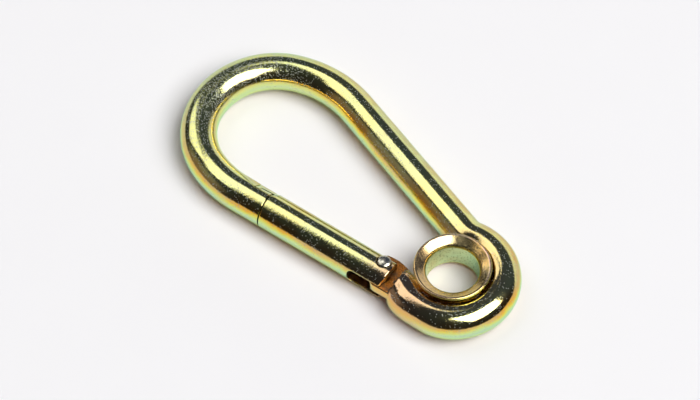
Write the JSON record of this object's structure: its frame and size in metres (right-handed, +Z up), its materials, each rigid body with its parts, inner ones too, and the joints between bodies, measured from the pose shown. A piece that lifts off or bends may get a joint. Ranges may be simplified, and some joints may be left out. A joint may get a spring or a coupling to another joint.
{
  "type": "snap hook with eyelet",
  "caption": "Round-bar steel snap hook with a wide bow, a spring gate hinged by the eye and a flared eyelet pressed into the eye loop.",
  "frame": {"origin": "middle of the bounding box, on the plane the hook lies on", "axes": "+X along the hook towards the eyelet, +Y towards the back arm with the gate on -Y, +Z up out of the plane of the hook"},
  "size_m": [0.12, 0.0574, 0.012],
  "materials": {
    "plated_bar": "glossy yellow chromate on zinc, with green and pink tints",
    "plated_sheet": "glossy yellow chromate on zinc, pinker on the rim",
    "rivet_steel": "bright bare steel",
    "spring_steel": "oiled spring wire",
    "plunger_steel": "glossy pinkish chromate on zinc"
  },
  "bodies": {
    "hook": {"hook_body": "plated_bar"},
    "gate": {"gate": "plated_bar", "hinge_rivet": "rivet_steel", "gate_spring": "spring_steel"},
    "plunger": {"spring_plunger": "plunger_steel"},
    "eyelet": {"eyelet": "plated_sheet"}
  },
  "joints": [
    {"name": "gate_hinge", "type": "hinge", "parent": "hook", "child": "gate", "pos_m": [0.02472, -0.01208, 0.0055], "axis": [0, 0, -1], "range_deg": [0, 34], "stiffness_Nm_per_rad": 0.5, "springref_deg": -17.19},
    {"name": "plunger_slide", "type": "slide", "parent": "gate", "child": "plunger", "axis": [-0.9848, -0.1736, 0], "range_m": [0, 0.00072], "deforming": ["gate_spring"]},
    {"name": "eyelet_spin", "type": "hinge", "parent": "hook", "child": "eyelet", "pos_m": [0.04019, 0.00009, 0.006], "axis": [0, 0, 1], "continuous": true}
  ],
  "couplings": [
    {"joint": "plunger_slide", "follows": "gate_hinge", "m_per_rad": 0.0012}
  ]
}
